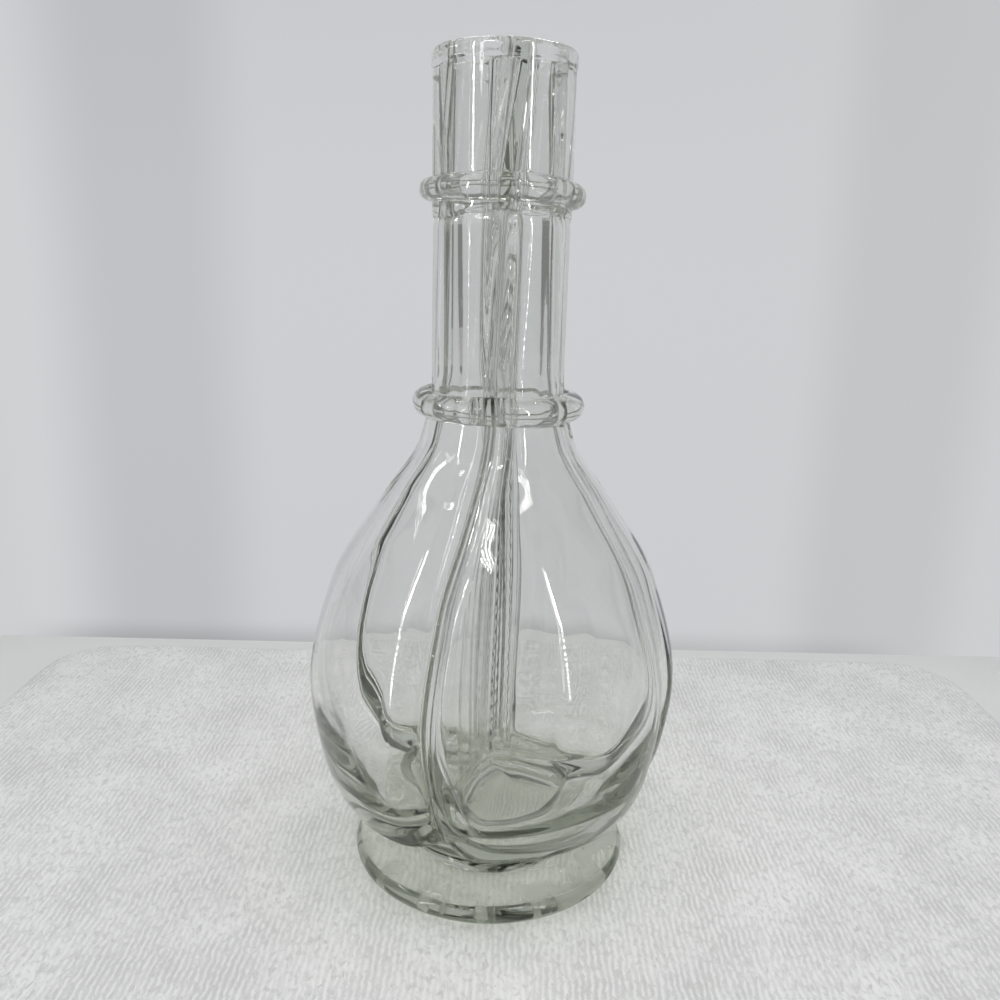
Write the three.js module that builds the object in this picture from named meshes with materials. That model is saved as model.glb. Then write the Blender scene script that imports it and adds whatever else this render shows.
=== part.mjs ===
// Liqueur decanter with four separate chambers, blown in clear glass.
// Four blown bottles stand back to back round the axis, each a quarter of the plan, and twist
// together as they rise. A sleeve gathers their mouths, two glass rings bind the neck, and the
// heels stand on one solid foot. Millimetres, +Z up, the foot rests on Z = 0.
// Angles are in degrees, counted round the axis from the front (-Y) towards the right (+X).

import * as THREE from 'three';

// The foot, a solid disc with a flare that carries the chambers.
const footRadius = 50.5;
const footEdgeHeight = 6.8;
const footEdgeRound = 4;
const footFlareRadius = 41;
const footFlareHeight = 8.6;
const footWaistRadius = 35;
const footHeight = 21.2;
const footHollowRadius = 38;
const footHollowFlatRadius = 26.6;
const footHollowDepth = 1.5;

// The chambers rise in stages, each with its rise above the last and its radius from the axis.
const heelRadius = 38;
const haunchRise = 6.5;
const haunchRadius = 54.4;
const flankRise = 20;
const flankRadius = 62.8;
const bellyRise = 24;
const bellyRadius = 66.1;
const shoulderRise = 36;
const shoulderRadius = 57.7;
const slopeRise = 30;
const slopeRadius = 39.8;
const throatRise = 20;
const throatRadius = 27;
const neckRise = 22;
const neckRadius = 22.6;
const neckLength = 46;
const taperLength = 10;
const mouthLength = 44;

// The hand twist: where the front seam stands at each stage.
const heelTwist = -20.2;
const bellyTwist = -20.8;
const shoulderTwist = -19.2;
const slopeTwist = -13.8;
const throatTwist = -8.4;
const neckTwist = -4.6;
const sleeveTwist = 3.9;
const mouthTwist = 19;

// Walls and floor of each chamber.
const heelWall = 11;
const flankWall = 5.2;
const bellyWall = 3;
const shoulderWall = 2.6;
const neckWall = 3.2;
const mouthWall = 1.4;
const webWall = 1.8;
const floorThickness = 9;
const floorRound = 11;

// Roundings of a chamber's three upright edges, outside and inside.
const heelLobeRound = 12;
const flankLobeRound = 8;
const bellyLobeRound = 5.5;
const neckLobeRound = 4.2;
const heelKeelRound = 0.8;
const bellyKeelRound = 5;
const mouthKeelRound = 1.6;
const cavityLobeRound = 9;
const boreLobeRound = 4.5;
const cavityKeelRound = 7;
const boreKeelRound = 3.5;

// The sleeve round the mouths, and the rings wound on the neck: one above the sleeve's foot,
// one above the throat.
const sleeveRadius = 22.75;
const sleeveLap = 5;
const upperRingRise = 7.3;
const upperRingThickness = 8.1;
const upperRingProud = 0.75;
const lowerRingRise = 11.9;
const lowerRingThickness = 9.1;
const lowerRingProud = 1.5;

// Pieces that touch on the real decanter stand this far apart.
const seatGap = 0.3;

const chamberNames = ['chamber_front', 'chamber_right', 'chamber_back', 'chamber_left'];
const chamberAngle = 360 / chamberNames.length;

const heelHeight = footHeight + seatGap;
const haunchHeight = heelHeight + haunchRise;
const flankHeight = haunchHeight + flankRise;
const bellyHeight = flankHeight + bellyRise;
const shoulderHeight = bellyHeight + shoulderRise;
const slopeHeight = shoulderHeight + slopeRise;
const throatHeight = slopeHeight + throatRise;
const neckHeight = throatHeight + neckRise;
const taperHeight = neckHeight + neckLength;
const mouthHeight = taperHeight + taperLength;
const rimHeight = mouthHeight + mouthLength;
const floorHeight = heelHeight + floorThickness;
const sleeveFootHeight = mouthHeight - sleeveLap;
const upperRingHeight = sleeveFootHeight + upperRingRise;
const lowerRingHeight = throatHeight + lowerRingRise;

const boreRadius = neckRadius - neckWall;
const mouthRadius = boreRadius + mouthWall;

// A smooth curve through [height, value] stations that never overshoots between two of them.
function alongHeight(stations) {
  const last = stations.length - 1;
  const slopeAfter = (i) => {
    const [lowHeight, lowValue] = stations[i];
    const [highHeight, highValue] = stations[i + 1];
    return (highValue - lowValue) / (highHeight - lowHeight);
  };
  const slopeAt = (i) => {
    if (i === 0) return slopeAfter(0);
    if (i === last) return slopeAfter(last - 1);
    const before = slopeAfter(i - 1);
    const after = slopeAfter(i);
    return before * after <= 0 ? 0 : (2 * before * after) / (before + after);
  };
  return (height) => {
    if (height <= stations[0][0]) return stations[0][1];
    if (height >= stations[last][0]) return stations[last][1];
    const i = stations.findIndex((station, index) => index < last && height <= stations[index + 1][0]);
    const span = stations[i + 1][0] - stations[i][0];
    const t = (height - stations[i][0]) / span;
    const rise = t * t * (3 - 2 * t);
    const start = stations[i][1] * (1 - rise) + slopeAt(i) * span * t * (1 - t) * (1 - t);
    return start + stations[i + 1][1] * rise - slopeAt(i + 1) * span * t * t * (1 - t);
  };
}

const lobeRadiusAt = alongHeight([
  [heelHeight, heelRadius],
  [haunchHeight, haunchRadius],
  [flankHeight, flankRadius],
  [bellyHeight, bellyRadius],
  [shoulderHeight, shoulderRadius],
  [slopeHeight, slopeRadius],
  [throatHeight, throatRadius],
  [neckHeight, neckRadius],
  [taperHeight, neckRadius],
  [mouthHeight, mouthRadius],
  [rimHeight, mouthRadius],
]);

const wallAt = alongHeight([
  [heelHeight, heelWall],
  [flankHeight, flankWall],
  [bellyHeight, bellyWall],
  [shoulderHeight, shoulderWall],
  [slopeHeight, shoulderWall],
  [neckHeight, neckWall],
]);

const seamAngleAt = alongHeight([
  [flankHeight, heelTwist],
  [bellyHeight, bellyTwist],
  [shoulderHeight, shoulderTwist],
  [slopeHeight, slopeTwist],
  [throatHeight, throatTwist],
  [neckHeight, neckTwist],
  [mouthHeight, sleeveTwist],
  [rimHeight, mouthTwist],
]);

const lobeRoundAt = alongHeight([
  [haunchHeight, heelLobeRound],
  [flankHeight, flankLobeRound],
  [bellyHeight, bellyLobeRound],
  [neckHeight, neckLobeRound],
]);

const keelRoundAt = alongHeight([
  [haunchHeight, heelKeelRound],
  [flankHeight, bellyKeelRound],
  [shoulderHeight, bellyKeelRound],
  [rimHeight, mouthKeelRound],
]);

const cavityLobeRoundAt = alongHeight([
  [shoulderHeight, cavityLobeRound],
  [neckHeight, boreLobeRound],
]);

const cavityKeelRoundAt = alongHeight([
  [shoulderHeight, cavityKeelRound],
  [neckHeight, boreKeelRound],
]);

function cavityRadiusAt(height) {
  return height < neckHeight ? lobeRadiusAt(height) - wallAt(height) : boreRadius;
}

// Half of a chamber's plan, on its own centre line: a quarter disc whose straight sides stand
// back by `side` from the seams, with rounded corners. The points run from the middle of the
// outer arc, round the lobe's corner and along the side, to the keel beside the axis.
const arcSteps = 4;
const lobeRoundSteps = 3;
const keelRoundSteps = 2;

function halfPlan({ radius, side, lobeRound, keelRound }) {
  const seam = THREE.MathUtils.degToRad(chamberAngle / 2);
  const inward = new THREE.Vector2(Math.sin(seam), -Math.cos(seam));
  const cornerReach = Math.sqrt((radius - lobeRound) ** 2 - (side + lobeRound) ** 2);
  const corner = new THREE.Vector2(Math.cos(seam), Math.sin(seam))
    .multiplyScalar(cornerReach)
    .addScaledVector(inward, side + lobeRound);
  const keel = new THREE.Vector2((side + keelRound) / Math.sin(seam), 0);
  const sideFacing = inward.clone().negate().angle();

  const points = [];
  for (let i = 0; i < arcSteps; i++) {
    const angle = (corner.angle() * i) / arcSteps;
    points.push(new THREE.Vector2(Math.cos(angle), Math.sin(angle)).multiplyScalar(radius));
  }
  for (let i = 0; i <= lobeRoundSteps; i++) {
    const angle = THREE.MathUtils.lerp(corner.angle(), sideFacing, i / lobeRoundSteps);
    points.push(new THREE.Vector2(Math.cos(angle), Math.sin(angle)).multiplyScalar(lobeRound).add(corner));
  }
  for (let i = 0; i <= keelRoundSteps; i++) {
    const angle = THREE.MathUtils.lerp(sideFacing, Math.PI, i / keelRoundSteps);
    points.push(new THREE.Vector2(Math.cos(angle), Math.sin(angle)).multiplyScalar(keelRound).add(keel));
  }
  return points;
}

const mirrored = (point) => new THREE.Vector2(point.x, -point.y);

// Sets plan points of chamber `index` in place at a height, turned by the twist there.
function inPlace(points, index, height) {
  const degrees = seamAngleAt(height) + chamberAngle * (index + 0.5) - 90;
  const angle = THREE.MathUtils.degToRad(degrees);
  return points.map((point) => {
    const turned = point.clone().rotateAround(new THREE.Vector2(), angle);
    return new THREE.Vector3(turned.x, turned.y, height);
  });
}

function wholePlan(half, index, height) {
  const back = half.slice(1, -1).reverse().map(mirrored);
  return inPlace([...half, ...back], index, height);
}

function lobePlan(height, clearance = 0) {
  return halfPlan({
    radius: lobeRadiusAt(height) + clearance,
    side: seatGap / 2 - clearance,
    lobeRound: lobeRoundAt(height) + clearance,
    keelRound: keelRoundAt(height) + clearance,
  });
}

// The cavity's plan, drawn in by `inset` where its floor rounds up into its walls.
function cavityPlan(height, inset = 0) {
  const sharpest = 1;
  return halfPlan({
    radius: cavityRadiusAt(height) - inset,
    side: seatGap / 2 + webWall + inset,
    lobeRound: Math.max(cavityLobeRoundAt(height) - inset, sharpest),
    keelRound: Math.max(cavityKeelRoundAt(height) - inset, sharpest),
  });
}

// Joins loops of equal length into a closed skin. An open run of loops is capped at both ends;
// a ring of loops joins its last loop to its first. The second half of each loop mirrors the
// first, so its facets are split the other way and neighbours across a seam stay parallel.
function skinOver(loops, isRing) {
  const count = loops[0].length;
  const vertices = loops.flat();
  const triangles = [];
  const runs = isRing ? loops.length : loops.length - 1;
  for (let run = 0; run < runs; run++) {
    const low = run * count;
    const high = ((run + 1) % loops.length) * count;
    for (let i = 0; i < count; i++) {
      const next = (i + 1) % count;
      const [a, b, c, d] = [low + i, low + next, high + next, high + i];
      if (i < count / 2) triangles.push(a, b, c, a, c, d);
      else triangles.push(a, b, d, b, c, d);
    }
  }
  if (!isRing) {
    const middle = (loop) => loop
      .reduce((sum, point) => sum.add(point), new THREE.Vector3())
      .divideScalar(loop.length);
    const firstMiddle = vertices.push(middle(loops[0])) - 1;
    const lastMiddle = vertices.push(middle(loops.at(-1))) - 1;
    const lastLoop = (loops.length - 1) * count;
    for (let i = 0; i < count; i++) {
      const next = (i + 1) % count;
      triangles.push(firstMiddle, next, i, lastMiddle, lastLoop + i, lastLoop + next);
    }
  }
  const geometry = new THREE.BufferGeometry().setFromPoints(vertices);
  geometry.setIndex(triangles);
  geometry.computeVertexNormals();
  return geometry;
}

// Heights from `from` up to `to`, at each stage between them and in even steps between stages.
// The seat of the lower ring counts as a stage too, so that the ring and the lobes share facets.
const heightStep = 12;
const stages = [
  haunchHeight,
  flankHeight,
  bellyHeight,
  shoulderHeight,
  slopeHeight,
  throatHeight,
  lowerRingHeight - lowerRingThickness / 2,
  lowerRingHeight,
  lowerRingHeight + lowerRingThickness / 2,
  neckHeight,
  taperHeight,
  sleeveFootHeight,
  mouthHeight,
].sort((low, high) => low - high);

function heightsBetween(from, to) {
  const marks = [from, ...stages.filter((stage) => stage > from && stage < to), to];
  const heights = [from];
  for (let i = 1; i < marks.length; i++) {
    const rise = marks[i] - marks[i - 1];
    const steps = Math.ceil(rise / heightStep);
    for (let step = 1; step <= steps; step++) heights.push(marks[i - 1] + (rise * step) / steps);
  }
  return heights;
}

// A blown chamber: its outer skin from heel to rim, then its cavity from rim to floor.
const floorRoundSteps = 4;

function chamberGeometry(index) {
  const outside = heightsBetween(heelHeight, rimHeight)
    .map((height) => wholePlan(lobePlan(height), index, height));
  const inside = heightsBetween(floorHeight + floorRound, rimHeight)
    .reverse()
    .map((height) => wholePlan(cavityPlan(height), index, height));
  const floor = [];
  for (let i = 1; i <= floorRoundSteps; i++) {
    const angle = (Math.PI / 2) * (i / floorRoundSteps);
    const height = floorHeight + floorRound * (1 - Math.sin(angle));
    floor.push(wholePlan(cavityPlan(height, floorRound * (1 - Math.cos(angle))), index, height));
  }
  return skinOver([...outside, ...inside, ...floor], false);
}

// A loop round all four chambers at a height, a clearance away from them. It bridges the
// grooves between the lobes, and stays outside `leastRadius`.
function loopRoundNeck(height, leastRadius = 0) {
  const outerHalf = lobePlan(height, seatGap).slice(0, arcSteps + 2);
  const lobe = [...outerHalf.slice(1).reverse().map(mirrored), ...outerHalf];
  return chamberNames.flatMap((name, index) => inPlace(lobe, index, height)).map((point) => {
    const radius = Math.hypot(point.x, point.y);
    const scale = Math.max(radius, leastRadius) / radius;
    return new THREE.Vector3(point.x * scale, point.y * scale, height);
  });
}

// The sleeve: a band of glass drawn round the four mouths, smooth outside and lobed inside.
function sleeveGeometry() {
  const heights = heightsBetween(sleeveFootHeight, rimHeight);
  const outside = heights.map((height) => loopRoundNeck(height, sleeveRadius));
  const inside = heights.reverse().map((height) => loopRoundNeck(height));
  return skinOver([...outside, ...inside], true);
}

// A ring: a thread of glass wound round a neck of `seatRadius`, flattened where it sits.
const ringSteps = 14;

function ringGeometry(height, thickness, seatRadius, proud, leastInside) {
  const loops = [];
  for (let i = 0; i < ringSteps; i++) {
    const angle = (2 * Math.PI * i) / ringSteps - Math.PI / 2;
    const threadRadius = seatRadius + proud + (thickness / 2) * Math.cos(angle);
    const threadHeight = height + (thickness / 2) * Math.sin(angle);
    loops.push(loopRoundNeck(threadHeight, Math.max(threadRadius, leastInside)));
  }
  return skinOver(loops, true);
}

// The foot: a disc hollowed a little underneath, rising in a flare to the chambers' seat.
const footSides = 40;
const footCurveSteps = 4;

function footGeometry() {
  const footWaistHeight = (footFlareHeight + footHeight) / 2;
  const profile = new THREE.Path();
  profile.moveTo(0, footHollowDepth);
  profile.quadraticCurveTo(footHollowFlatRadius, footHollowDepth, footHollowRadius, 0);
  profile.lineTo(footRadius - footEdgeRound, 0);
  profile.quadraticCurveTo(footRadius, 0, footRadius, footEdgeHeight / 2);
  profile.quadraticCurveTo(footRadius, footEdgeHeight, footRadius - footEdgeRound / 2, footEdgeHeight);
  profile.lineTo(footFlareRadius, footFlareHeight);
  profile.quadraticCurveTo(footWaistRadius, footFlareHeight, footWaistRadius, footWaistHeight);
  profile.lineTo(footWaistRadius, footHeight);
  profile.lineTo(0, footHeight);
  const outline = profile.getPoints(footCurveSteps);
  return new THREE.LatheGeometry(outline, footSides).rotateX(Math.PI / 2);
}

const glass = () => new THREE.MeshStandardMaterial({
  color: 0xdfe6e2,
  roughness: 0.04,
  metalness: 0,
  transparent: true,
  opacity: 0.4,
});

const decanter = new THREE.Group();

function addPiece(name, geometry) {
  const mesh = new THREE.Mesh(geometry, glass());
  mesh.name = name;
  decanter.add(mesh);
}

chamberNames.forEach((name, index) => addPiece(name, chamberGeometry(index)));
addPiece('mouth_sleeve', sleeveGeometry());
addPiece('upper_neck_ring',
  ringGeometry(upperRingHeight, upperRingThickness, sleeveRadius, upperRingProud, sleeveRadius + seatGap));
addPiece('lower_neck_ring',
  ringGeometry(lowerRingHeight, lowerRingThickness, lobeRadiusAt(lowerRingHeight), lowerRingProud, 0));
addPiece('foot', footGeometry());

export default decanter;
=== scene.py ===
"""Looks of the four-chamber liqueur decanter: one body of clear blown glass on a pale cloth.

Four blown bottles stand back to back, twisted together, and all the glass is fused hot. The
CAD keeps the eight pieces apart; here they are one closed body of glass, with the air that
stayed between them. Millimetres and degrees up to the mesh, metres and radians after it.
Angles are counted round the axis from the front (-Y) towards the right (+X).
"""

import math

import bmesh
import bpy
import numpy as np
from mathutils import Matrix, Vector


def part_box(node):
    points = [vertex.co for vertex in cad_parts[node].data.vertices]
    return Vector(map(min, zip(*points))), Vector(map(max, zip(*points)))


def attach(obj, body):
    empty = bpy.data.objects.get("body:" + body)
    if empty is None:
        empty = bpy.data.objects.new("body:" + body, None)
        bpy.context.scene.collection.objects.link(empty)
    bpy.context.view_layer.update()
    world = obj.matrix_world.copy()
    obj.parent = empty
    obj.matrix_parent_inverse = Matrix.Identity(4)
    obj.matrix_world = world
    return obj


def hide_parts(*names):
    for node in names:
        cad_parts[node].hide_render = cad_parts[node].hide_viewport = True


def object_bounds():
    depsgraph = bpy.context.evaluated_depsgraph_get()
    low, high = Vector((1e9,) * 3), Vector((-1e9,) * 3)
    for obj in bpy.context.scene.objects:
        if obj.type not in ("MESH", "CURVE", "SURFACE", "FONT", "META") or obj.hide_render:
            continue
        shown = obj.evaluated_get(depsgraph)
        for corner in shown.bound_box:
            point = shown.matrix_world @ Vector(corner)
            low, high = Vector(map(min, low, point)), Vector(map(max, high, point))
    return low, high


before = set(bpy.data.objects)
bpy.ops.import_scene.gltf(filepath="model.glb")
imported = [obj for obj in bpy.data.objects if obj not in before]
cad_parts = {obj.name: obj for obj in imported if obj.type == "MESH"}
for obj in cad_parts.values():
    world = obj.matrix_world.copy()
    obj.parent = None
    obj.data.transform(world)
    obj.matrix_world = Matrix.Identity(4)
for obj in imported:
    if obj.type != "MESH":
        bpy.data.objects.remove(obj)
cad_low, cad_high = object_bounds()

MM = 0.001
CHAMBERS = 4
QUARTER = 360 / CHAMBERS


def in_mm(node):
    """The lowest and highest corner of a CAD node, in millimetres."""
    low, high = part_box(node)
    return np.array(low) / MM, np.array(high) / MM


# Sizes

# Stages up a chamber, from its heel on the foot to its rim.
chamber_low, chamber_high = in_mm("chamber_front")
HEEL, RIM = chamber_low[2], chamber_high[2]
HAUNCH = HEEL + 6.5
FLANK = HAUNCH + 20
BELLY = FLANK + 24
SHOULDER = BELLY + 36
SLOPE = SHOULDER + 30
THROAT = SLOPE + 20
NECK = THROAT + 22
TAPER = NECK + 46
MOUTH = TAPER + 10
FLOOR = HEEL + 9
FLOOR_ROUND = 13
FLOOR_DISH = 0.08

INSIDE_CAD = 0.05
BELLY_RADIUS = cad_high[0] / MM - INSIDE_CAD
NECK_RADIUS = 23.1
BORE_RADIUS = 19.4
HALF_WEB = 1.95

# The sleeve's lower edge laps down past the mouths' foot, and ends in a rounded step.
SLEEVE_RADIUS = 22.75
SLEEVE_LAP = 5
SLEEVE_LIP = 0.9
SLEEVE_STEP = 1.5

RIM_ROUND = 1.5
MOUTH_ROUND = 0.7 * RIM_ROUND
RIM_BEAD = 0.35

# How softly each form runs into the glass under it.
CREASE_BLEND, FOOT_BLEND, SLEEVE_BLEND, RING_BLEND = 1.4, 2.4, 0.5, 0.7

# Where the wound threads of the rings were cut off.
CUT_ANGLE, CUT_WIDTH = 86, 24


def along(*stations):
    """A smooth curve through (height, value) stations that never overshoots between two."""
    at, value = np.array(stations, float).T
    span = np.diff(at)
    slope = np.diff(value) / span
    tangent = np.concatenate([slope[:1], np.zeros(len(at) - 2), slope[-1:]])
    turns = slope[:-1] * slope[1:]
    keeps_on = turns > 0
    tangent[1:-1][keeps_on] = 2 * turns[keeps_on] / (slope[:-1] + slope[1:])[keeps_on]

    def curve(height):
        height = np.clip(height, at[0], at[-1])
        i = np.clip(np.searchsorted(at, height, side="right") - 1, 0, len(span) - 1)
        t = (height - at[i]) / span[i]
        rise = t * t * (3 - 2 * t)
        bend = tangent[i] * (1 - t) - tangent[i + 1] * t
        return value[i] * (1 - rise) + value[i + 1] * rise + bend * span[i] * t * (1 - t)

    return curve


lobe_radius = along(
    (HEEL, 38), (HAUNCH, 54.4), (FLANK, 62.8), (BELLY, BELLY_RADIUS), (SHOULDER, 57.7),
    (SLOPE, 39.8), (THROAT, 27), (NECK, NECK_RADIUS), (TAPER, NECK_RADIUS), (MOUTH, 20.8),
    (RIM, 20.8),
)
lobe_round = along((HAUNCH, 12), (FLANK, 9.5), (BELLY, 8), (SHOULDER, 6.5), (NECK, 4.2))
groove_depth = along(
    (HEEL, 9), (HAUNCH, 8.3), (FLANK, 6.5), (BELLY, 4.9), (SHOULDER, 4.1), (THROAT, 3.4),
    (NECK, 3.1),
)
lobe_fall = along(
    (HEEL, 1), (FLANK, 1.6), (BELLY, 2), (SHOULDER, 3.2), (SLOPE, 3), (THROAT, 2), (NECK, 1.6),
)
seam_angle = along(
    (HEEL, -17), (HAUNCH, -18.2), (HAUNCH + 8, -19.5), (FLANK, -20.2), (BELLY, -20.8),
    (SHOULDER, -19.2), (SLOPE, -13.8), (THROAT, -8.4), (NECK, -4.6), (MOUTH, 3.9), (RIM, 19),
)
back_lean = along((FLOOR, 8), (FLANK, 12), (SHOULDER, 12), (SLOPE, 6), (THROAT, 1.5), (NECK, 0))
wall = along(
    (HEEL, 11), (FLANK, 5.2), (BELLY, 3), (SHOULDER, 2.6), (SLOPE, 2.6), (NECK, 3.2),
)
cavity_round = along(
    (HAUNCH, 13), (FLANK, 10), (BELLY, 7), (SHOULDER, 6), (THROAT, 4.8), (NECK, 4.2),
)
cavity_keel = along((SHOULDER, 7), (NECK, 3.5))
up_the_bead = along((RIM - 5.6, 0), (RIM - 4.6, 1))
foot_radius = along(
    (0, 46.5), (0.4, 48.3), (1.3, 49.7), (2.6, 50.35), (3.8, 50.5), (5, 50.2), (6, 49.5),
    (6.8, 48.2), (7.4, 46), (7.9, 43), (8.4, 40), (9, 37), (9.8, 34.6), (11, 32.8),
    (13, 31.8), (16, 31.6), (18.5, 32.4), (21, 34), (24, 33), (28, 26), (34, 0),
)
LOWER_RING, UPPER_RING = in_mm("lower_neck_ring"), in_mm("upper_neck_ring")
LOWER_RING_SEAT = lobe_radius((LOWER_RING[0][2] + LOWER_RING[1][2]) / 2)


def smooth_max(a, b, width):
    overlap = np.maximum(width - np.abs(a - b), 0) / width
    return np.maximum(a, b) + overlap**2 * width / 4


def smooth_min(a, b, width):
    return -smooth_max(-a, -b, width)


def share_past(value, start, over):
    """0 up to a start, 1 from a span past it on, and even in between."""
    return np.clip((value - start) / over, 0, 1)


def up_the_neck(height):
    return share_past(height, SLOPE, 40)


def bump(angle, centre, width):
    """1 at an angle round the axis, and falling off over a width either side of it."""
    off = (angle - centre + 180) % 360 - 180
    return np.exp(-((off / width) ** 2))


def wave_round(angle, turns, start):
    """A wave that goes up and down some times in a turn round the axis."""
    return np.sin(np.radians(turns * angle + start))


def quarter_round(size, turn):
    """How far in and how far down a rounded edge lies, a turn up from its side."""
    turn = math.radians(turn)
    return size * (1 - math.cos(turn)), size * (1 - math.sin(turn))


def at_angles(radius, angle, height):
    """Points round the axis at one height."""
    angle = np.radians(angle)
    height = np.full(len(angle), height)
    return np.stack([radius * np.sin(angle), -radius * np.cos(angle), height], 1)


def round_axis(points):
    """The radius and the angle of each point."""
    radius = np.hypot(points[:, 0], points[:, 1])
    return radius, np.degrees(np.arctan2(points[:, 0], -points[:, 1]))


# The hand's unevenness

chance = np.random.default_rng(11)


def unevenness(amount, turns, rises, count):
    """A slow ripple over the glass: a sum of waves round the axis and along the height."""
    waves = [
        (
            int(chance.integers(turns[0], turns[1] + 1)),
            chance.uniform(*rises),
            chance.uniform(0, 2 * math.pi),
            amount * chance.uniform(0.5, 1) / math.sqrt(count),
        )
        for _ in range(count)
    ]

    def ripple(angle, height):
        angle = np.radians(angle)
        total = 0
        for around, up, start, size in waves:
            total = total + size * np.sin(around * angle + 2 * math.pi * height / up + start)
        return total

    return ripple


# Each draws from the same row of chances, so their order matters.
skin_ripple = unevenness(0.16, (1, 5), (90, 260), 9)
skin_streaks = unevenness(0.05, (9, 31), (150, 900), 9)
bore_ripple = unevenness(0.3, (1, 5), (70, 220), 9)
bore_streaks = unevenness(0.1, (8, 26), (150, 900), 9)
neck_streaks = unevenness(0.3, (7, 24), (150, 900), 9)
web_waves = unevenness(0.15, (2, 6), (120, 600), 10)
foot_waves = unevenness(0.34, (2, 9), (14, 45), 9)
floor_waves = unevenness(1.5, (1, 4), (30, 80), 7)


# The outer skin

def lobe_outline(radius, rounding, past_seam):
    """A lobe's radius at an angle past its seam: a round arc with rounded corners."""
    reach = radius - rounding
    seat = np.sqrt(reach**2 - rounding**2)
    short_of_corner = np.maximum(np.arctan2(rounding, seat) - np.radians(past_seam), 0)
    along_ray = reach * np.cos(short_of_corner)
    return along_ray + np.sqrt(np.maximum(along_ray**2 - seat**2, 0))


def ring_outline(height, angle, box, seat_radius, drip):
    """A wound thread of glass, thicker and lower where it was cut off."""
    low, high = box
    lump = bump(angle, CUT_ANGLE, CUT_WIDTH) * drip
    half = (high[2] - low[2]) / 2 * (1 + 0.03 * wave_round(angle, 2, 30) + 0.1 * lump)
    middle = (high[2] + low[2]) / 2 + 0.3 * wave_round(angle, 1, 200) - 0.7 * lump
    middle = middle + 0.18 * wave_round(angle, 3, 70)
    peak = high[0] - 0.3 + 0.25 * wave_round(angle, 3, 120)
    across = np.clip(np.abs(height - middle) / half, 0, 1)
    root = seat_radius - 1.2
    swell = root + (peak - root) * (1 - across**2.2) ** (1 / 2.2)
    return np.where(np.abs(height - middle) < half, swell, 0)


def sleeve_outline(height, angle):
    """The band of glass round the mouths, with an uneven lower edge."""
    edge = MOUTH - SLEEVE_LAP + 1.3 * wave_round(angle, 2, 60)
    edge = edge + 0.8 * wave_round(angle, 5, 140) + 0.3 * wave_round(angle, 9, 0)
    up = share_past(height - edge + SLEEVE_LIP, 0, 2 * SLEEVE_LIP)
    skin = SLEEVE_RADIUS - SLEEVE_STEP * (1 - np.sqrt(1 - (1 - up) ** 2))
    return np.where(height > edge - SLEEVE_LIP, skin, 0)


def outer_radius(height, past_seam, angle):
    """The skin's radius from the axis, for arrays of height, angle past the seam and angle."""
    nearest = np.minimum(past_seam, QUARTER - past_seam)
    radius = lobe_radius(height)
    outline = lobe_outline(radius, lobe_round(height), nearest)
    depth = smooth_min(radius - outline, groove_depth(height), CREASE_BLEND)
    skin = radius - depth - lobe_fall(height) * (1 - nearest * 2 / QUARTER) ** 4
    skin = np.where(height < HEEL, 0, skin)
    sharper_below = np.clip(height / 10, 0.05, 1)
    skin = smooth_max(skin, foot_radius(height), FOOT_BLEND * sharper_below)
    above_foot = share_past(height, 30, 30)
    skin = skin + above_foot * (skin_ripple(angle, height) + skin_streaks(angle, height))
    skin = skin + 0.55 * up_the_neck(height) * neck_streaks(angle + 40, height)
    skin = np.minimum(skin, BELLY_RADIUS)
    skin = smooth_max(skin, sleeve_outline(height, angle), SLEEVE_BLEND)
    skin = skin + RIM_BEAD * up_the_bead(height)
    lower_ring = ring_outline(height, angle, LOWER_RING, LOWER_RING_SEAT, drip=0.4)
    upper_ring = ring_outline(height, angle, UPPER_RING, SLEEVE_RADIUS, drip=1)
    return smooth_max(smooth_max(skin, lower_ring, RING_BLEND), upper_ring, RING_BLEND)


SAMPLES_A_LOBE = 56
CROWDING = 0.55
PROFILE_SAMPLES = 6001
row_spacing = along(
    (0, 0.9), (10, 1.1), (30, 1.3), (60, 2.6), (150, 2.4), (163, 1), (177, 1), (182, 2.6),
    (224, 2.4), (228, 0.8), (245, 0.9), (250, 2.6), (272, 2.4), (275, 0.4), (RIM, 1.2),
)


def spread_heights(low, high):
    """Heights that follow the steepest profile of the skin with about even steps."""
    fine = np.linspace(low, high, PROFILE_SAMPLES)
    length = np.zeros(len(fine))
    for past_seam, angle in ((QUARTER / 2, 20), (QUARTER / 2, CUT_ANGLE), (0, 0)):
        radius = outer_radius(fine, past_seam, angle)
        length = np.maximum(length, np.abs(np.gradient(radius, fine)))
    pace = np.sqrt(1 + length**2) / row_spacing(fine)
    run = np.concatenate([[0], np.cumsum((pace[1:] + pace[:-1]) / 2 * np.diff(fine))])
    return np.interp(np.linspace(0, run[-1], int(run[-1]) + 1), run, fine)


def outer_loops():
    """Loops of points up the skin, closer together beside the seams."""
    heights = spread_heights(0, RIM - RIM_ROUND)
    share = np.arange(SAMPLES_A_LOBE) / SAMPLES_A_LOBE
    past = QUARTER * (share - CROWDING * np.sin(2 * math.pi * share) / (2 * math.pi))
    past_seam = np.tile(past, CHAMBERS)[None, :]
    first = np.repeat(np.arange(CHAMBERS) * QUARTER, SAMPLES_A_LOBE)[None, :]
    loops = []
    for height in heights:
        angle = seam_angle(height) + first + past_seam
        radius = outer_radius(height, past_seam, angle)
        loops.append(at_angles(radius[0], angle[0], height))
    for turn in (30, 60, 90):
        inset, drop = quarter_round(RIM_ROUND, turn)
        loops.append(at_angles(radius[0] - inset, angle[0], RIM - drop))
    return loops


# The air inside

ARC_STEPS, CORNER_STEPS, SIDE_STEPS, KEEL_STEPS = 10, 6, 22, 4
BORE_ROWS, BODY_ROWS, FLOOR_ROWS = 60, 30, 11
WEB_WAVE = 30


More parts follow.
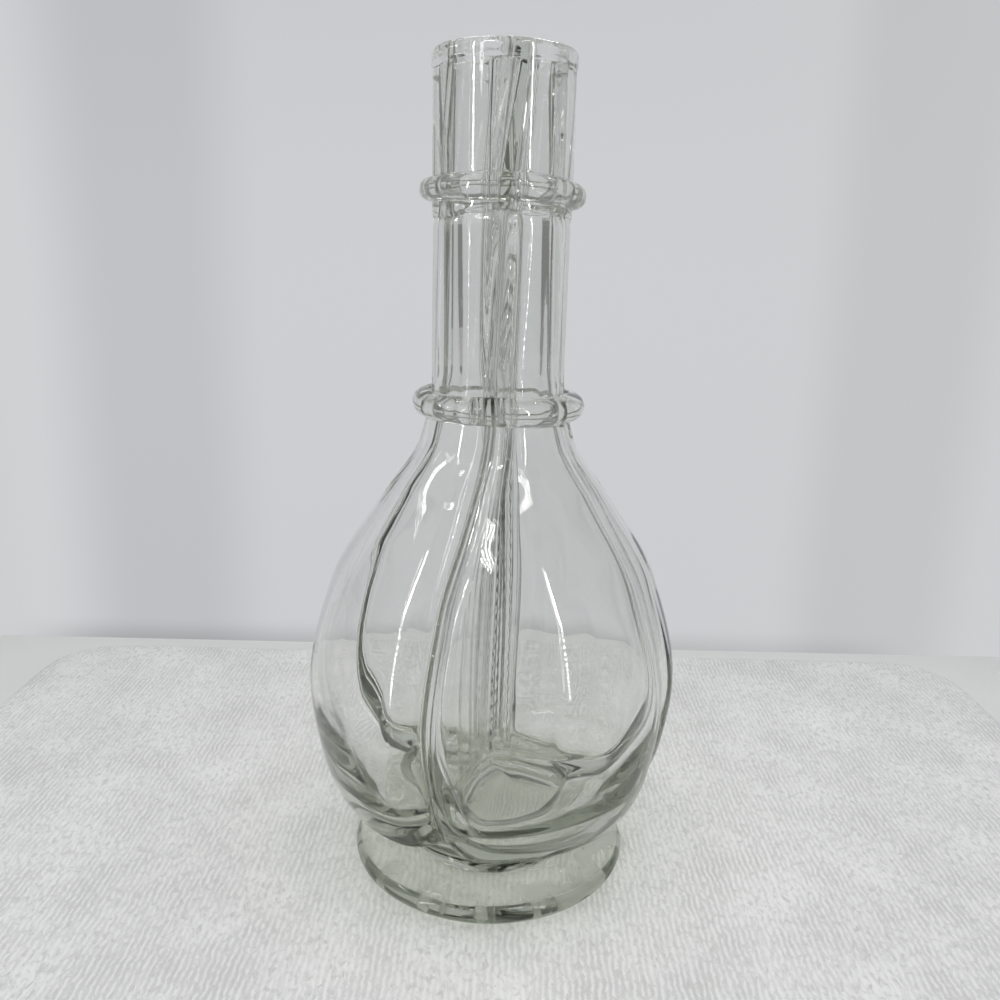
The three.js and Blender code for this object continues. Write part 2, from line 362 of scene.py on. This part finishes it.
def cavity_plan(height, inset=0, flare=0):
    """A chamber's inner outline on its own centre line: a quarter disc with rounded corners."""
    seam = math.radians(QUARTER / 2)
    radius = lobe_radius(height) - wall(height) if height < NECK else BORE_RADIUS
    radius = radius - inset + flare
    side = HALF_WEB + inset - flare
    rounding = max(cavity_round(height) - inset, 1)
    keel_round = max(cavity_keel(height) - inset, 1)
    inward = np.array([math.sin(seam), -math.cos(seam)])
    reach = math.sqrt((radius - rounding) ** 2 - (side + rounding) ** 2)
    corner = np.array([math.cos(seam), math.sin(seam)]) * reach + inward * (side + rounding)
    corner_angle = math.atan2(corner[1], corner[0])
    keel = np.array([(side + keel_round) / math.sin(seam), 0])
    facing = math.atan2(-inward[1], -inward[0])

    def arc(centre, size, start, end, steps):
        turns = np.linspace(start, end, steps + 1)
        return centre + size * np.stack([np.cos(turns), np.sin(turns)], 1)

    outer = arc(np.zeros(2), radius, 0, corner_angle, ARC_STEPS)[:-1]
    lobe = arc(corner, rounding, corner_angle, facing, CORNER_STEPS)
    tip = arc(keel, keel_round, facing, math.pi, KEEL_STEPS)
    side_line = lobe[-1] + (tip[0] - lobe[-1]) * (np.arange(1, SIDE_STEPS) / SIDE_STEPS)[:, None]
    half = np.concatenate([outer, lobe, side_line, tip])
    return np.concatenate([half, half[-2:0:-1] * [1, -1]])


def with_wavy_sides(plan, index, height):
    """A plan with its outer corners drawn in, and slow waves along the webs beside it."""
    radius = np.hypot(plan[:, 0], plan[:, 1])
    angle = np.degrees(np.arctan2(plan[:, 1], plan[:, 0]))
    fall = lobe_fall(height) * (np.abs(angle) * 2 / QUARTER) ** 4 * share_past(radius, 0, 30) ** 2
    beside_web = share_past(np.abs(angle), 20, 16) * share_past(radius, 9, 8)
    beside_web = beside_web * share_past(lobe_radius(height) - 10 - radius, 0, 12)
    beside_web = beside_web * (1 - up_the_neck(height))
    sides = index * 2 + (angle > 0)
    wave = web_waves(radius * 360 / WEB_WAVE + 70 * sides, height) * beside_web
    angle = np.radians(angle + np.degrees(wave / np.maximum(radius, 1)))
    radius = radius - fall
    return np.stack([radius * np.cos(angle), radius * np.sin(angle)], 1)


def placed(plan, index, height):
    """A plan turned to its chamber's place, with the glassblower's unevenness."""
    plan = with_wavy_sides(plan, index, height)
    turn = math.radians(float(seam_angle(height)) + QUARTER * (index + 0.5) - 90)
    cos, sin = math.cos(turn), math.sin(turn)
    points = plan @ np.array([[cos, sin], [-sin, cos]])
    radius, angle = round_axis(points)
    sway = bore_ripple(angle, height + 37 * index) + bore_streaks(angle, height + 53 * index)
    sway = sway + up_the_neck(height) * neck_streaks(angle, height)
    share = share_past(radius, 8 * up_the_neck(height), 30) * share_past(height, FLOOR, 25)
    points = points * (1 + share * sway / np.maximum(radius, 1))[:, None]
    near_floor = share_past(height, FLOOR + 30, -20)
    return np.column_stack([points, height + floor_waves(angle, radius) * near_floor])


def cavity_loops(index):
    """A chamber's cavity from its mouth down to the middle of its floor."""
    loops = []
    for turn in (90, 60, 30):
        flare, drop = quarter_round(MOUTH_ROUND, turn)
        loops.append(placed(cavity_plan(RIM - drop, flare=flare), index, RIM - drop))
    heights = np.concatenate([
        np.linspace(RIM - MOUTH_ROUND, SHOULDER, BORE_ROWS)[:-1],
        np.linspace(SHOULDER, FLOOR + FLOOR_ROUND, BODY_ROWS)[:-1],
    ])
    loops += [placed(cavity_plan(height), index, height) for height in heights]
    for turn in np.linspace(0, 90, FLOOR_ROWS):
        inset, rise = quarter_round(FLOOR_ROUND, turn)
        loops.append(placed(cavity_plan(FLOOR + rise, inset=inset), index, FLOOR + rise))
    middle = loops[-1].mean(0)
    for share in (0.75, 0.5, 0.25):
        loop = middle + (loops[-1] - middle) * share / (share + 0.25)
        loop[:, 2] -= FLOOR_DISH
        loops.append(loop)
    return loops


# The air between the pieces

CHANNEL_FOOT, CHANNEL_TOP = 36.4, 186
CHANNEL_ROWS, CHANNEL_COLUMNS = 130, 40
CHANNEL_BEADING, BEAD_LENGTH = 0.035, 5.3
channel_cusp = along(
    (CHANNEL_FOOT, 7.4), (BELLY, 7.2), (SHOULDER, 6.4), (THROAT, 4), (CHANNEL_TOP, 2.2),
)
channel_flat = along((CHANNEL_FOOT, 3.5), (SHOULDER, 3.2), (THROAT, 2), (CHANNEL_TOP, 1))

POCKET_FOOT = 234
POCKET_TOPS = (257, 255, 258)
POCKET_ROWS = 30
POCKET_NARROWS = 0.45
POCKET_PLAN = np.array([
    [17.2, 0], [18.2, -0.45], [19.2, -0.95], [20.2, -1.6], [20.9, -1.9], [21.25, -1.2],
    [21.35, 0], [21.25, 1.2], [20.9, 1.9], [20.2, 1.6], [19.2, 0.95], [18.2, 0.45],
])
POCKET_MIDDLE = np.array([20.2, 0])

FRONT_POCKET_FOOT, FRONT_POCKET_TOP, FRONT_POCKET_END = 233.5, 275, 1.5
FRONT_POCKET_COLUMNS = 16
FRONT_POCKET_OUTSIDE, FRONT_POCKET_MIDDLE = 21.6, 21.15
front_pocket_left = along((FRONT_POCKET_FOOT, -13), (FRONT_POCKET_TOP, -27))
front_pocket_right = along((FRONT_POCKET_FOOT, -6), (250, -4.5), (FRONT_POCKET_TOP, -2.5))
front_pocket_inside = along((-30, 20.75), (-14, 20.7), (-9, 19.7), (-5, 18.5), (-1, 17.3))

ALMOST_SHUT = 0.0004


def openness(height, low, high, low_round, high_round):
    """How wide a closed pocket of air is at a height, as a share: both of its ends are round."""
    end = min((height - low) / low_round, (high - height) / high_round)
    return math.sqrt(1 - (1 - np.clip(end, ALMOST_SHUT, 1)) ** 2)


def channel_loops():
    """The channel of air between the four keels: a square with hollow sides."""
    turns = np.radians(np.arange(CHANNEL_COLUMNS) * 360 / CHANNEL_COLUMNS)
    toward_seam = np.abs(np.cos(2 * turns)) ** 2.6 * (np.cos(4 * turns) * 0.5 + 0.5)
    loops = []
    for height in np.linspace(CHANNEL_FOOT, CHANNEL_TOP, CHANNEL_ROWS):
        flat, cusp = channel_flat(height), channel_cusp(height)
        reach = flat + (cusp - flat) * toward_seam
        reach = reach * openness(height, CHANNEL_FOOT, CHANNEL_TOP, 4, 8)
        beading = CHANNEL_BEADING * (1 - 0.8 * float(up_the_neck(height)))
        reach = reach * (1 + beading * math.sin(2 * math.pi * height / BEAD_LENGTH))
        loops.append(at_angles(reach, np.degrees(turns) + seam_angle(height), height))
    return loops


def front_pocket_loops():
    """The wide pocket in front, where the left tube stays upright and the front one leans away."""
    low, high, end = FRONT_POCKET_FOOT, FRONT_POCKET_TOP, FRONT_POCKET_END
    share = np.linspace(0, 1, FRONT_POCKET_COLUMNS)
    outside = FRONT_POCKET_OUTSIDE - 0.5 * np.abs(share * 2 - 1) ** 6
    heights = np.concatenate([
        np.linspace(low, low + end, 6)[:-1], np.linspace(low + end, high - end, 26),
        np.linspace(high - end, high, 6)[1:],
    ])
    loops = []
    for height in heights:
        size = openness(height, low, high, end, end)
        left, right = front_pocket_left(height), front_pocket_right(height)
        middle = (left + right) / 2
        offset = left + (right - left) * share
        radius = np.concatenate([outside, front_pocket_inside(offset)[::-1]])
        offset = middle + (np.concatenate([offset, offset[::-1]]) - middle) * size
        radius = FRONT_POCKET_MIDDLE + (radius - FRONT_POCKET_MIDDLE) * size
        loops.append(at_angles(radius, offset + seam_angle(height), height))
    return loops


def pocket_loops(index):
    """Air trapped under the sleeve, in the groove between two lobes."""
    if index == 0:
        return front_pocket_loops()
    low, high = POCKET_FOOT, POCKET_TOPS[index - 1]
    loops = []
    for height in np.linspace(low, high, POCKET_ROWS):
        up = (height - low) / (high - low)
        size = openness(height, low, high, 2, 5) * (1 - POCKET_NARROWS * up)
        points = POCKET_MIDDLE + (POCKET_PLAN - POCKET_MIDDLE) * size
        radius = np.hypot(points[:, 0], points[:, 1])
        angle = np.degrees(np.arctan2(points[:, 1], points[:, 0])) + seam_angle(height)
        loops.append(at_angles(radius, angle + QUARTER * index, height))
    return loops


# The mesh

class Mesh:
    """Points and faces gathered piece by piece."""

    def __init__(self):
        self.points, self.faces, self.count = [], [], 0

    def add(self, loop):
        self.points.append(loop)
        self.count += len(loop)
        return self.count - len(loop)

    def skin(self, loops, inward=False):
        """Joins loops of equal length, and returns the first index of the first and last."""
        starts = [self.add(loop) for loop in loops]
        size = len(loops[0])
        here = np.arange(size)
        beside = (here + 1) % size
        low, high = np.array(starts[:-1])[:, None], np.array(starts[1:])[:, None]
        faces = np.stack([low + here, low + beside, high + beside, high + here], 2)
        self.faces += faces.reshape(-1, 4)[:, ::-1 if inward else 1].tolist()
        return starts[0], starts[-1]

    def cap(self, start, size, middle, inward=False):
        """Closes the loop at a start with a fan."""
        tip = self.add(np.array([middle]))
        for i in range(size):
            face = (start + i, start + (i + 1) % size, tip)
            self.faces.append(face[::-1] if inward else face)


def with_back_seam_upright(points):
    """The same glass with the seam at the back turned on, where it twists less than the rest."""
    radius, angle = round_axis(points)
    height = points[:, 2]
    off = (angle - seam_angle(height)) % 360 - 180
    share = np.cos(np.radians(np.clip(off, -90, 90))) ** 2 * share_past(radius, 2, 12)
    share = share * share_past(height, HEEL, 4)
    turned = np.radians(angle + back_lean(height) * share)
    return np.stack([radius * np.sin(turned), -radius * np.cos(turned), height], 1)


def with_uneven_foot(points):
    """The same glass with slow waves on the top of the foot."""
    radius, angle = round_axis(points)
    height = points[:, 2]
    share = share_past(height, 4, 3) * share_past(height, 18, -8)
    lift = foot_waves(angle, radius) * share * share_past(radius, 28, 6)
    return np.column_stack([points[:, :2], height + lift])


PONTIL_HEIGHT = 1.5


def underside_loops(edge):
    """Loops from the foot's contact ring in to the hollow under its middle."""
    hollow = along((0, 1.9), (20, 1.8), (31, 1.2), (38, 0), (50, 0))
    radius = np.hypot(edge[:, 0], edge[:, 1])
    loops = []
    for reach in (44, 41, 38.6, 37, 35, 32, 28, 23, 17, 11, 5):
        loop = edge * (reach / radius)[:, None]
        loop[:, 2] = hollow(reach)
        loops.append(loop)
    return loops


def glass_body():
    """The fused glass as one closed mesh, with the air inside it as skins that face inward."""
    mesh = Mesh()
    outer = outer_loops()
    mesh.skin(outer)
    _, hollow = mesh.skin([outer[0]] + underside_loops(outer[0]), inward=True)
    mesh.cap(hollow, len(outer[0]), (0, 0, PONTIL_HEIGHT), inward=True)
    for index in range(CHAMBERS):
        loops = cavity_loops(index)
        _, floor = mesh.skin(loops)
        mesh.cap(floor, len(loops[0]), loops[-1].mean(0))
    for loops in [channel_loops()] + [pocket_loops(i) for i in range(CHAMBERS)]:
        start, end = mesh.skin(loops, inward=True)
        mesh.cap(start, len(loops[0]), loops[0].mean(0))
        mesh.cap(end, len(loops[0]), loops[-1].mean(0), inward=True)

    data = bpy.data.meshes.new("fused_glass")
    points = with_uneven_foot(with_back_seam_upright(np.concatenate(mesh.points)))
    data.from_pydata(points * MM, [], mesh.faces)
    made = bmesh.new()
    made.from_mesh(data)
    bmesh.ops.remove_doubles(made, verts=made.verts, dist=1e-7)
    for face in made.faces:
        face.smooth = True
    top_edges = [
        e for e in made.edges
        if e.is_boundary and all(abs(v.co.z - RIM * MM) < 1e-6 for v in e.verts)
    ]
    filled = bmesh.ops.triangle_fill(made, use_beauty=True, edges=top_edges)
    for face in (f for f in filled["geom"] if isinstance(f, bmesh.types.BMFace)):
        face.smooth = False
        if face.normal.z < 0:
            face.normal_flip()
    made.to_mesh(data)
    made.free()
    body = bpy.data.objects.new("fused_glass", data)
    bpy.context.scene.collection.objects.link(body)
    return body


# Materials

def empty_material(name):
    material = bpy.data.materials.new(name)
    material.use_nodes = True
    material.node_tree.nodes.clear()
    return material, material.node_tree


def node(tree, kind, values=None, **links):
    """A new node with its values set and its inputs linked."""
    made = tree.nodes.new(kind)
    for name, value in (values or {}).items():
        if name in made.inputs:
            made.inputs[name].default_value = value
        else:
            setattr(made, name, value)
    for name, source in links.items():
        tree.links.new(source, made.inputs[name.replace("_", " ")])
    return made


def joined(tree, made, *sources):
    """Links sources to a node's inputs in their order, and returns its output."""
    for source, socket in zip(sources, made.inputs):
        tree.links.new(source, socket)
    return made.outputs[0]


def maths(tree, operation, first, second):
    return joined(tree, node(tree, "ShaderNodeMath", {"operation": operation}), first, second)


def mixed(tree, share, first, second):
    """A shader that goes over from the first to the second."""
    return joined(tree, node(tree, "ShaderNodeMixShader"), share, first, second)


def remapped(tree, value, low, high, to_low=0, to_high=1):
    """A value's place between low and high, on another range."""
    return node(tree, "ShaderNodeMapRange", {
        "From Min": low, "From Max": high, "To Min": to_low, "To Max": to_high,
    }, Value=value).outputs["Result"]


def object_place(tree):
    return node(tree, "ShaderNodeTexCoord").outputs["Object"]


def noise(tree, place, scale, detail, **more):
    values = {"Scale": scale, "Detail": detail, **more}
    return node(tree, "ShaderNodeTexNoise", values, Vector=place).outputs["Fac"]


def seen_directly(tree):
    """1 for what the camera sees, also by reflection and through glass, and 0 for the rest."""
    path = node(tree, "ShaderNodeLightPath")
    by_glass = maths(
        tree, "MAXIMUM", path.outputs["Is Glossy Ray"], path.outputs["Is Transmission Ray"],
    )
    return maths(tree, "MAXIMUM", path.outputs["Is Camera Ray"], by_glass)


def clear_glass():
    """Clear glass, olive where it is thick, with a worn ring where it stands."""
    material, tree = empty_material("clear_glass")
    place = object_place(tree)
    haze = remapped(tree, noise(tree, place, 60, 3), 0.45, 0.8, 0, 0.02)
    height = node(tree, "ShaderNodeSeparateXYZ", Vector=place).outputs["Z"]
    standing = remapped(tree, height, 0.0006, 0.0003)
    scuffs = remapped(tree, noise(tree, place, 75, 3), 0.51, 0.58, 0, 0.6)
    rough = maths(tree, "MAXIMUM", haze, maths(tree, "MULTIPLY", standing, scuffs))
    uneven = node(tree, "ShaderNodeBump", {"Strength": 0.12, "Distance": 0.001},
                  Height=noise(tree, place, 35, 2))
    glass = node(tree, "ShaderNodeBsdfPrincipled", {
        "Base Color": (1, 1, 1, 1),
        "Transmission Weight": 1,
        "IOR": 1.5,
    }, Roughness=rough, Normal=uneven.outputs["Normal"])
    clear = node(tree, "ShaderNodeBsdfTransparent", {"Color": (0.965, 0.97, 0.96, 1)})
    shadow = node(tree, "ShaderNodeLightPath").outputs["Is Shadow Ray"]
    surface = mixed(tree, shadow, glass.outputs[0], clear.outputs[0])
    tint = node(tree, "ShaderNodeVolumeAbsorption",
                {"Color": (0.46, 0.51, 0.39, 1), "Density": 16})
    node(tree, "ShaderNodeOutputMaterial", Surface=surface, Volume=tint.outputs[0])
    return material


# The object

body = glass_body()
body.data.materials.append(clear_glass())
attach(body, "root")
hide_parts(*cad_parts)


# The stage

TABLE_LEFT, TABLE_RIGHT = -0.246, 0.256
TABLE_FRONT, TABLE_BACK = -0.5, 0.181
TABLE_CORNER, TABLE_EDGE = 0.035, 0.006
PILE_SINKS = 0.0002
GROUND, GROUND_REACH = -0.006, 2
WALL, WALL_REACH = 0.201, 0.39
WALL_FOOT, WALL_TOP = -0.1, 0.37


def staged(name, points, faces, material):
    """A mesh that belongs to the stage and not to the part."""
    data = bpy.data.meshes.new(name)
    data.from_pydata(points, [], faces)
    data.materials.append(material)
    made = bpy.data.objects.new(name, data)
    bpy.context.scene.collection.objects.link(made)
    return made


def panel(name, corners, material):
    return staged(name, corners, [(0, 1, 2, 3)], material)


def table_loop(inset, height):
    """The table's plan, a rectangle with round corners, drawn in by an inset."""
    left, right = TABLE_LEFT + TABLE_CORNER, TABLE_RIGHT - TABLE_CORNER
    front, back = TABLE_FRONT + TABLE_CORNER, TABLE_BACK - TABLE_CORNER
    points = []
    for middle_x, middle_y, first in (
        (right, back, 0), (left, back, 90), (left, front, 180), (right, front, 270),
    ):
        for turn in np.radians(np.linspace(first, first + 90, 9)):
            points.append((
                middle_x + (TABLE_CORNER - inset) * math.cos(turn),
                middle_y + (TABLE_CORNER - inset) * math.sin(turn),
                height,
            ))
    return points


def covered_table(material):
    """A folded cloth: a flat top with a soft edge."""
    loops = [table_loop(0, GROUND - 0.01)]
    for turn in (0, 22.5, 45, 67.5, 90):
        inset, drop = quarter_round(TABLE_EDGE, turn)
        loops.append(table_loop(inset, -drop - PILE_SINKS))
    size = len(loops[0])
    faces = [
        (row * size + i, row * size + (i + 1) % size,
         (row + 1) * size + (i + 1) % size, (row + 1) * size + i)
        for row in range(len(loops) - 1) for i in range(size)
    ]
    faces.append(tuple(range((len(loops) - 1) * size, len(loops) * size)))
    made = staged("cloth", [point for loop in loops for point in loop], faces, material)
    for face in made.data.polygons[:-1]:
        face.use_smooth = True


def cloth():
    """Pale towelling: broken rows of small loops that run away from the camera."""
    material, tree = empty_material("pale_cloth")
    place = object_place(tree)
    rows = node(tree, "ShaderNodeTexWave", {
        "bands_direction": "X", "Scale": 146, "Distortion": 4.5, "Detail": 3,
        "Detail Scale": 0.9, "Detail Roughness": 0.6,
    }, Vector=place)
    stretched = node(tree, "ShaderNodeMapping", {"Scale": (1, 0.55, 1)}, Vector=place)
    loops = noise(tree, stretched.outputs["Vector"], 560, 2, Roughness=0.55, Distortion=0.6)
    loops = remapped(tree, loops, 0.28, 0.52)
    ribbed = remapped(tree, noise(tree, place, 34, 4, Roughness=0.6), 0.35, 0.65, 0.15, 1)
    pile = node(tree, "ShaderNodeMix", {"data_type": "FLOAT"})
    tree.links.new(ribbed, pile.inputs[0])
    tree.links.new(loops, pile.inputs[2])
    tree.links.new(maths(tree, "MULTIPLY", rows.outputs["Fac"], loops), pile.inputs[3])
    pile = pile.outputs[0]
    broad = remapped(tree, noise(tree, place, 14, 5), 0, 1, 0.6, 0.7)
    tone = maths(tree, "ADD", broad, remapped(tree, pile, 0, 1, -0.13, 0.045))
    nap = node(tree, "ShaderNodeBump", {"Strength": 0.5, "Distance": 0.0008}, Height=pile)
    weave = node(tree, "ShaderNodeBsdfDiffuse", Color=tone, Normal=nap.outputs["Normal"])
    node(tree, "ShaderNodeOutputMaterial", Surface=weave.outputs[0])
    return material


def ramp(tree, value, stops):
    """A smooth ramp of faintly cool greys through (place, grey) stops."""
    made = tree.nodes.new("ShaderNodeValToRGB")
    made.color_ramp.interpolation = "EASE"
    while len(made.color_ramp.elements) < len(stops):
        made.color_ramp.elements.new(0.5)
    for element, (place, grey) in zip(made.color_ramp.elements, stops):
        element.position = place
        element.color = (grey * 0.99, grey, grey * 1.015, 1)
    return joined(tree, made, value)


def backdrop():
    """A pale wall with the shade of two soft folds painted on it, and a painted shadow where the
    table stands against it.

    It glows for the camera and through glass, is plain paint to the lamps, and isn't there
    from behind.
    """
    material, tree = empty_material("pale_wall")
    place = node(tree, "ShaderNodeSeparateXYZ", Vector=object_place(tree))
    sideways = remapped(tree, place.outputs["X"], -0.5, 0.5)
    upward = remapped(tree, place.outputs["Z"], -0.05, 0.45)
    # Painted shade: two darker upright bands stand for the shade in two soft folds, on a wall that
    # is flat.
    painted_fold_shade = ramp(tree, sideways, (
        (0.2, 0.62), (0.235, 0.64), (0.29, 0.54), (0.325, 0.54), (0.375, 0.62), (0.66, 0.62),
        (0.7, 0.56), (0.745, 0.56), (0.79, 0.62),
    ))
    # Painted shadow along the foot of the wall where the table meets it, and painted shade a
    # little darker towards the top, both only across the table's width.
    shade = ramp(tree, upward, ((0.08, 0.7), (0.118, 0.98), (0.5, 1), (1, 0.93)))
    behind_table = ramp(tree, sideways, (
        (0.2, 0), (0.27, 1), (0.55, 0.9), (0.7, 0.6), (0.76, 0),
    ))
    tone = node(tree, "ShaderNodeMix", {"data_type": "RGBA", "blend_type": "MULTIPLY"})
    tree.links.new(behind_table, tone.inputs[0])
    tree.links.new(painted_fold_shade, tone.inputs[6])
    tree.links.new(shade, tone.inputs[7])
    glow = node(tree, "ShaderNodeEmission", Color=tone.outputs[2])
    paint = node(tree, "ShaderNodeBsdfDiffuse", {"Color": (0.6, 0.61, 0.62, 1)})
    front = mixed(tree, seen_directly(tree), paint.outputs[0], glow.outputs[0])
    from_behind = node(tree, "ShaderNodeNewGeometry").outputs["Backfacing"]
    nothing = node(tree, "ShaderNodeBsdfTransparent")
    node(tree, "ShaderNodeOutputMaterial",
         Surface=mixed(tree, from_behind, front, nothing.outputs[0]))
    return material


def ground():
    """Pale matt board under the cloth."""
    material, tree = empty_material("pale_ground")
    tone = remapped(tree, noise(tree, object_place(tree), 9, 4), 0, 1, 0.6, 0.66)
    matt = node(tree, "ShaderNodeBsdfDiffuse", Color=tone)
    node(tree, "ShaderNodeOutputMaterial", Surface=matt.outputs[0])
    return material


panel("ground", [
    (-GROUND_REACH, -GROUND_REACH, GROUND), (GROUND_REACH, -GROUND_REACH, GROUND),
    (GROUND_REACH, GROUND_REACH, GROUND), (-GROUND_REACH, GROUND_REACH, GROUND),
], ground())
covered_table(cloth())
panel("backdrop", [
    (-WALL_REACH, WALL, WALL_FOOT), (WALL_REACH, WALL, WALL_FOOT),
    (WALL_REACH, WALL, WALL_TOP), (-WALL_REACH, WALL, WALL_TOP),
], backdrop())


# Light

# How close the small lamps of a bar stand, and their shares of its power between them and at
# the lower end of an upright bar.
SCALE_ALONG, SCALE_ACROSS = 45, 52
BETWEEN_LAMPS = 0.03
DIMMED_END = 0.2


def turned_to(place, aim):
    """A matrix at a place, with its -Z axis turned to the aim."""
    away = (np.array(place) - np.array(aim)) / np.linalg.norm(np.array(place) - np.array(aim))
    side = np.cross((0, 0, 1), away)
    side = side / np.linalg.norm(side)
    up = np.cross(away, side)
    return Matrix([
        [side[0], up[0], away[0], place[0]],
        [side[1], up[1], away[1], place[1]],
        [side[2], up[2], away[2], place[2]],
        [0, 0, 0, 1],
    ])


def softbox(name, place, aim, width, height, power):
    """A lamp that lights the cloth and the wall, and that the glass doesn't show."""
    light = bpy.data.lights.new(name, "AREA")
    light.shape = "RECTANGLE"
    light.size, light.size_y = width, height
    light.energy = power
    made = bpy.data.objects.new(name, light)
    bpy.context.scene.collection.objects.link(made)
    made.matrix_world = turned_to(place, aim)
    made.visible_glossy = False
    made.visible_transmission = False


def lamp_bar(name, place, aim, width, height, power):
    """A bar of small lamps in rows, for the glass to show. An upright one dims downward."""
    material, tree = empty_material(name)
    position = object_place(tree)
    upright = height > width
    lengthways, crossways = ("Y", "X") if upright else ("X", "Y")
    lamps = node(tree, "ShaderNodeTexWave",
                 {"bands_direction": lengthways, "Scale": SCALE_ALONG}, Vector=position)
    rows = node(tree, "ShaderNodeTexWave",
                {"bands_direction": crossways, "Scale": SCALE_ACROSS}, Vector=position)
    dots = maths(tree, "MULTIPLY", lamps.outputs["Fac"], rows.outputs["Fac"])
    level = remapped(tree, dots, 0.3, 0.6, BETWEEN_LAMPS * power, power)
    up = node(tree, "ShaderNodeSeparateXYZ", Vector=position).outputs["Y"]
    share = remapped(tree, up, -0.08, 0, DIMMED_END if upright else 1, 1)
    glow = node(tree, "ShaderNodeEmission", {"Color": (1, 0.98, 0.96, 1)},
                Strength=maths(tree, "MULTIPLY", level, share))
    node(tree, "ShaderNodeOutputMaterial", Surface=glow.outputs[0])
    strip = panel(name, [
        (-width / 2, -height / 2, 0), (width / 2, -height / 2, 0),
        (width / 2, height / 2, 0), (-width / 2, height / 2, 0),
    ], material)
    strip.matrix_world = turned_to(place, aim)
    strip.visible_camera = False
    strip.visible_diffuse = False


softbox("key", (0.02, -0.1, 0.8), (0, 0, 0.1), 0.5, 0.3, 3.5)
for bar in (
    ("left_strip", (-0.283, -0.26, 0.24), (0, 0, 0.24), 0.014, 0.4, 260),
    ("right_strip", (0.276, -0.302, 0.28), (0, 0, 0.28), 0.014, 0.4, 260),
    ("front_bar_left", (-0.1, -0.246, 0.4), (0, -0.041, 0.134), 0.12, 0.02, 45),
    ("front_bar_right", (0.139, -0.187, 0.432), (0.01, -0.033, 0.145), 0.1, 0.02, 45),
    ("back_bar", (0, 0.16, 0.48), (0, 0, 0.1), 0.3, 0.018, 60),
    ("side_bar", (-0.3, -0.03, 0.35), (-0.024, -0.03, 0.14), 0.12, 0.02, 50),
):
    lamp_bar(*bar)

ROOM_COLOUR = (0.63, 0.635, 0.635, 1)
ROOM_LENDS, ROOM_SHOWS = 1.02, 0.35


def room():
    """An even grey room, lighter for what it lends to dull surfaces."""
    world = bpy.data.worlds.new("room")
    world.use_nodes = True
    tree = world.node_tree
    background = tree.nodes["Background"]
    background.inputs["Color"].default_value = ROOM_COLOUR
    level = remapped(tree, seen_directly(tree), 0, 1, ROOM_LENDS, ROOM_SHOWS)
    tree.links.new(level, background.inputs["Strength"])
    return world


scene = bpy.context.scene
scene.world = room()
scene.view_settings.view_transform = "Standard"
scene.cycles.max_bounces = 48
scene.cycles.transmission_bounces = 48
scene.cycles.transparent_max_bounces = 24
scene.cycles.glossy_bounces = 16
scene.cycles.caustics_refractive = True
scene.cycles.caustics_reflective = False


# Camera

CAMERA_PLACE = (0.00143, -0.3152, 0.2154)
LOOKS_DOWN, ROLLED = 14.25, 1.27
LENS, SENSOR = 33.3, 36

lens = bpy.data.cameras.new("camera")
lens.lens = LENS
lens.sensor_width = SENSOR
camera = bpy.data.objects.new("camera", lens)
scene.collection.objects.link(camera)
tilt = Matrix.Rotation(math.radians(90 - LOOKS_DOWN), 4, "X")
roll = Matrix.Rotation(math.radians(ROLLED), 4, "Z")
camera.matrix_world = Matrix.Translation(CAMERA_PLACE) @ tilt @ roll
scene.camera = camera
